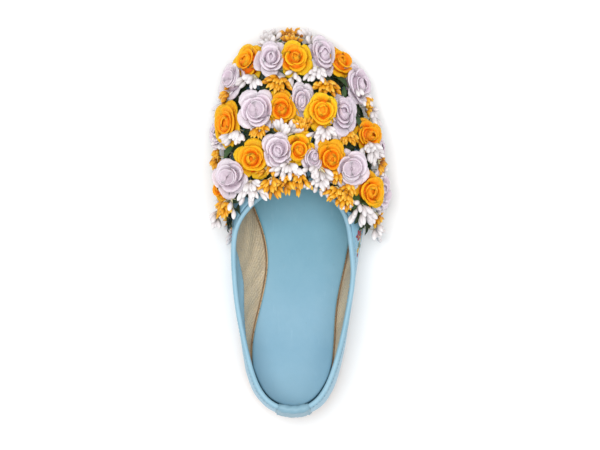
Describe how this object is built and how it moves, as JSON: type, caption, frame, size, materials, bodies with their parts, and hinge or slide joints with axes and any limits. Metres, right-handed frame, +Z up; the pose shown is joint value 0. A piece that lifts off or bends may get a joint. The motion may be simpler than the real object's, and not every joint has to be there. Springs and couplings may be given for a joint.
{
  "type": "jutti",
  "caption": "Flat slip-on jutti for the right foot in sky-blue leather, with a rolled collar, a low heel lift and a vamp covered in made roses and bud sprays.",
  "frame": {"origin": "on the floor, at the middle of the heel lift's ground face", "axes": "+Y from heel to toe, +X to the outer (little-toe) side of the right foot, +Z up"},
  "size_m": [0.1262, 0.2654, 0.0637],
  "materials": {
    "blue_leather": "satin",
    "insole_leather": "matte",
    "sole_leather": "matte",
    "heel_leather": "matte",
    "orange_petal": "matte",
    "lavender_petal": "satin",
    "yellow_bud": "satin",
    "white_bud": "satin"
  },
  "bodies": {
    "root": {"outsole": "sole_leather", "heel_lift": "heel_leather", "insole": "insole_leather", "upper": "blue_leather", "collar_binding": "blue_leather", "heel_tab": "blue_leather", "rose_orange_01": "orange_petal", "rose_orange_02": "orange_petal", "rose_orange_03": "orange_petal", "rose_orange_04": "orange_petal", "rose_orange_05": "orange_petal", "rose_orange_06": "orange_petal", "rose_orange_07": "orange_petal", "rose_orange_08": "orange_petal", "rose_orange_09": "orange_petal", "rose_orange_10": "orange_petal", "rose_orange_11": "orange_petal", "rose_orange_12": "orange_petal", "rose_lavender_01": "lavender_petal", "rose_lavender_02": "lavender_petal", "rose_lavender_03": "lavender_petal", "rose_lavender_04": "lavender_petal", "rose_lavender_05": "lavender_petal", "rose_lavender_06": "lavender_petal", "rose_lavender_07": "lavender_petal", "rose_lavender_08": "lavender_petal", "rose_lavender_09": "lavender_petal", "rose_lavender_10": "lavender_petal", "rose_lavender_11": "lavender_petal", "rose_lavender_12": "lavender_petal", "rose_lavender_13": "lavender_petal", "rose_lavender_14": "lavender_petal", "spray_yellow_01": "yellow_bud", "spray_yellow_02": "yellow_bud", "spray_yellow_03": "yellow_bud", "spray_yellow_04": "yellow_bud", "spray_yellow_05": "yellow_bud", "spray_yellow_06": "yellow_bud", "spray_yellow_07": "yellow_bud", "spray_yellow_08": "yellow_bud", "spray_yellow_09": "yellow_bud", "spray_yellow_10": "yellow_bud", "spray_yellow_11": "yellow_bud", "spray_yellow_12": "yellow_bud", "spray_yellow_13": "yellow_bud", "spray_yellow_14": "yellow_bud", "spray_white_01": "white_bud", "spray_white_02": "white_bud", "spray_white_03": "white_bud", "spray_white_04": "white_bud", "spray_white_05": "white_bud", "spray_white_06": "white_bud", "spray_white_07": "white_bud", "spray_white_08": "white_bud", "spray_white_09": "white_bud", "spray_white_10": "white_bud", "spray_white_11": "white_bud", "spray_white_12": "white_bud", "spray_white_13": "white_bud", "spray_white_14": "white_bud"}
  },
  "joints": []
}
